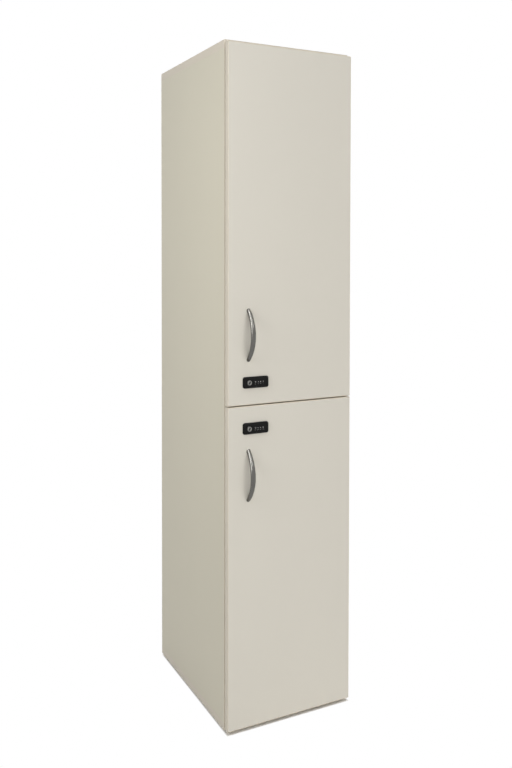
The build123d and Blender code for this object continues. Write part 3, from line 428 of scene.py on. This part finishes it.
screw_bodies = {"carcass_screws": "cabinet", "hinge_adjusters": "cabinet"}
for door in ("upper", "lower"):
    screw_bodies[f"{door}_door_screws"] = f"{door}_door"
    screw_bodies[f"{door}_handle_screws"] = f"{door}_door"
    screw_bodies[f"{door}_cam_screw"] = f"{door}_lock_knob"
for node, body in screw_bodies.items():
    mesh = closed_mesh(f"{node}_turned", [screw(points) for points in solids_of(node)])
    mesh.materials.append(zinc.material)
    screws = bpy.data.objects.new(mesh.name, mesh)
    bpy.context.scene.collection.objects.link(screws)
    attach(screws, body)
    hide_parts(node)


# Dial numbers. Plain white figures printed round each dial, 0 to 9, one to each tenth of a turn;
# the number that is set is read a little above the middle of its window.

# The built-in font's figures are seven tenths of its size tall, so these are 3 mm.
font_size = 0.00434
figure_lift = 0.00005
reading_angle = math.radians(7)
figure_finish = Finish("dial_figures", 0.5)
figure_speck = figure_finish.noise(2500.0, 2.0)
figure_finish.feed("Base Color", figure_finish.mix(figure_speck, (0.60, 0.60, 0.58), (0.78, 0.78, 0.75)))
figure_finish.feed("Roughness", 0.45 + figure_speck * 0.1)


def figure_outline(text):
    """A flat figure as points, across and up from its middle, and triangles, from the built-in font."""
    curve = bpy.data.curves.new("figure", "FONT")
    curve.body = text
    curve.size = font_size
    curve.align_x = "CENTER"
    curve.align_y = "CENTER"
    curve.resolution_u = 3
    letter = bpy.data.objects.new("figure", curve)
    mesh = bpy.data.meshes.new_from_object(letter)
    points = np.zeros(len(mesh.vertices) * 3)
    mesh.vertices.foreach_get("co", points)
    mesh.calc_loop_triangles()
    triangles = np.zeros(len(mesh.loop_triangles) * 3, int)
    mesh.loop_triangles.foreach_get("vertices", triangles)
    bpy.data.objects.remove(letter)
    bpy.data.curves.remove(curve)
    bpy.data.meshes.remove(mesh)
    points = points.reshape(-1, 3)[:, :2]
    return points - (points.min(0) + points.max(0)) / 2, triangles.reshape(-1, 3)


outlines = [figure_outline(str(n)) for n in range(10)]


def figure_ring(dial, number):
    """The ten figures round one dial, turned until the given number is the one that is read.

    A figure's point goes round the dial by its height over the radius, so it lies on the drum.
    """
    low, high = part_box(dial)
    middle = (low + high) / 2
    radius = (high.y - low.y) / 2 + figure_lift
    points, faces, start = [], [], 0
    for value, (flat, triangles) in enumerate(outlines):
        turn = (value - number) * math.tau / len(outlines) + flat[:, 1] / radius + reading_angle
        back = middle.y - radius * np.cos(turn)
        up = middle.z + radius * np.sin(turn)
        points.append(np.stack([middle.x + flat[:, 0], back, up], 1))
        faces.append(triangles + start)
        start += len(flat)
    mesh = bpy.data.meshes.new(f"{dial}_figures")
    mesh.from_pydata(np.concatenate(points).tolist(), [], np.concatenate(faces).tolist())
    return mesh


settings = {"upper": (0, 4, 8, 2), "lower": (3, 0, 6, 5)}
for door, numbers in settings.items():
    for n, number in enumerate(numbers, start=1):
        dial = f"{door}_dial_{n}"
        mesh = figure_ring(dial, number)
        mesh.materials.append(figure_finish.material)
        figures = bpy.data.objects.new(mesh.name, mesh)
        bpy.context.scene.collection.objects.link(figures)
        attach(figures, dial)


# Studio. A white floor under a white surround, with only the shadow under the base left dark. Two
# soft lamps hang high in front of the doors and one stands low, two light the left side, one each
# the back and the right side, and a tall strip is there for the handles' highlight alone.

def seen_directly(made):
    """1 where the camera, a shine or a clear thing looks at a surface, 0 where light falls from it."""
    rays = made.node("ShaderNodeLightPath")
    return (rays["Is Camera Ray"] + rays["Is Glossy Ray"] + rays["Is Transmission Ray"]).most(1.0)


def blend_surface(made, share, first, second):
    """Makes a blend of two shaders the surface of a node tree."""
    blend = made.node("ShaderNodeMixShader", None, (share, first, second))["Shader"]
    output = next(n for n in made.tree.nodes if n.bl_idname.startswith("ShaderNodeOutput"))
    made.tree.links.new(blend.socket, output.inputs["Surface"])


white = (1.0, 1.0, 1.0, 1.0)
floor_half = 12.0
shade_inset = 0.003
shade_edge = 0.004
floor_corners = np.array([(-1, -1, 0), (1, -1, 0), (1, 1, 0), (-1, 1, 0)]) * floor_half
floor_mesh = bpy.data.meshes.new("studio_floor")
floor_mesh.from_pydata(floor_corners.tolist(), [], [(0, 1, 2, 3)])
floor = bpy.data.objects.new("studio_floor", floor_mesh)
bpy.context.scene.collection.objects.link(floor)

paper = Finish("studio_paper", 0.9, **{"Specular IOR Level": 0.0})
paper_cloud = paper.noise(2.0, 1.0)
paper.feed("Base Color", paper.mix(paper_cloud, (0.930, 0.910, 0.875), (0.945, 0.925, 0.890)))
half_width = -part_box("left_side_panel")[0].x
base_middle = (rear_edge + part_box("lower_door_panel")[0].y) / 2
half_depth = rear_edge - base_middle
x, y = paper.axes()[:2]
beside = (x.size() - (half_width - shade_inset)).least(0.0)
before = ((y - base_middle).size() - (half_depth - shade_inset)).least(0.0)
from_base = (beside * beside + before * before).root()
glow_share = (from_base * (1.0 / shade_edge)).most(1.0)
glow = paper.node("ShaderNodeEmission", None, {"Color": white, "Strength": 1.0})["Emission"]
shaded = Wire(paper, paper.shader.outputs["BSDF"])
blend_surface(paper, glow_share * seen_directly(paper), shaded, glow)
floor_mesh.materials.append(paper.material)

sky_light = 0.12
world = bpy.data.worlds.new("surround")
bpy.context.scene.world = world
world.use_nodes = True
surround = NodeTree(world.node_tree)
sky = world.node_tree.nodes["Background"]
sky.inputs["Color"].default_value = white
bright = Wire(surround, sky.outputs["Background"])
dim = surround.node("ShaderNodeBackground", None, {"Color": white, "Strength": sky_light})["Background"]
blend_surface(surround, seen_directly(surround), dim, bright)


def lamp(name, place, aim, width, height, power, fill=True, sheen=True):
    """A soft lamp at one place, facing another, that fills with light, shows in reflections, or both."""
    light = bpy.data.lights.new(name, "AREA")
    light.shape = "RECTANGLE"
    light.size = width
    light.size_y = height
    light.energy = power
    holder = bpy.data.objects.new(name, light)
    holder.location = place
    holder.rotation_mode = "QUATERNION"
    holder.rotation_quaternion = (Vector(aim) - Vector(place)).to_track_quat("-Z", "Y")
    holder.visible_diffuse = fill
    holder.visible_glossy = sheen
    bpy.context.scene.collection.objects.link(holder)


doors_middle = (-0.13, -0.25, 0.95)
lamp("front_softbox", (1.23, -4.42, 5.04), doors_middle, 1.6, 4.8, 96.0)
lamp("high_softbox", (0.74, -1.54, 6.75), doors_middle, 1.6, 1.6, 48.0)
lamp("low_front_softbox", (-0.8, -3.4, 0.9), (0.0, -0.2, 0.7), 1.4, 1.4, 33.0, sheen=False)
lamp("left_softbox", (-1.7, -0.7, 1.7), (-0.2, 0.0, 1.3), 0.8, 0.8, 13.3, sheen=False)
lamp("side_softbox", (-2.35, -0.2, 2.0), (-0.2, 0.0, 1.4), 0.8, 0.8, 5.0, sheen=False)
lamp("back_softbox", (1.2, 3.2, 2.6), (0.0, 0.2, 1.0), 1.8, 2.2, 40.0, sheen=False)
lamp("right_softbox", (3.2, 0.6, 2.4), (0.2, 0.0, 1.0), 1.6, 2.0, 30.0, sheen=False)
lamp("strip_softbox", (-1.66, -2.89, 3.61), (-0.13, -0.24, 1.04), 0.9, 6.4, 180.0, fill=False)


# Camera. At the photograph's own place and lens, a little in front of the left side at chest
# height, level but for one degree, with the frame shifted down to take in the whole height.

camera_data = bpy.data.cameras.new("camera")
camera_data.sensor_fit = "AUTO"
camera_data.sensor_width = 36.0
camera_data.lens = 37.906
camera_data.shift_x = 0.0043
camera_data.shift_y = -0.14673
tilt_down = math.radians(1.336)
roll = math.radians(-0.0777)
heading = math.radians(-26.8631)
camera = bpy.data.objects.new("camera", camera_data)
camera.location = (-1.06376, -2.09549, 1.25368)
camera.rotation_euler = (math.pi / 2 - tilt_down, roll, heading)
bpy.context.scene.collection.objects.link(camera)
bpy.context.scene.camera = camera
bpy.context.scene.view_settings.view_transform = "Standard"
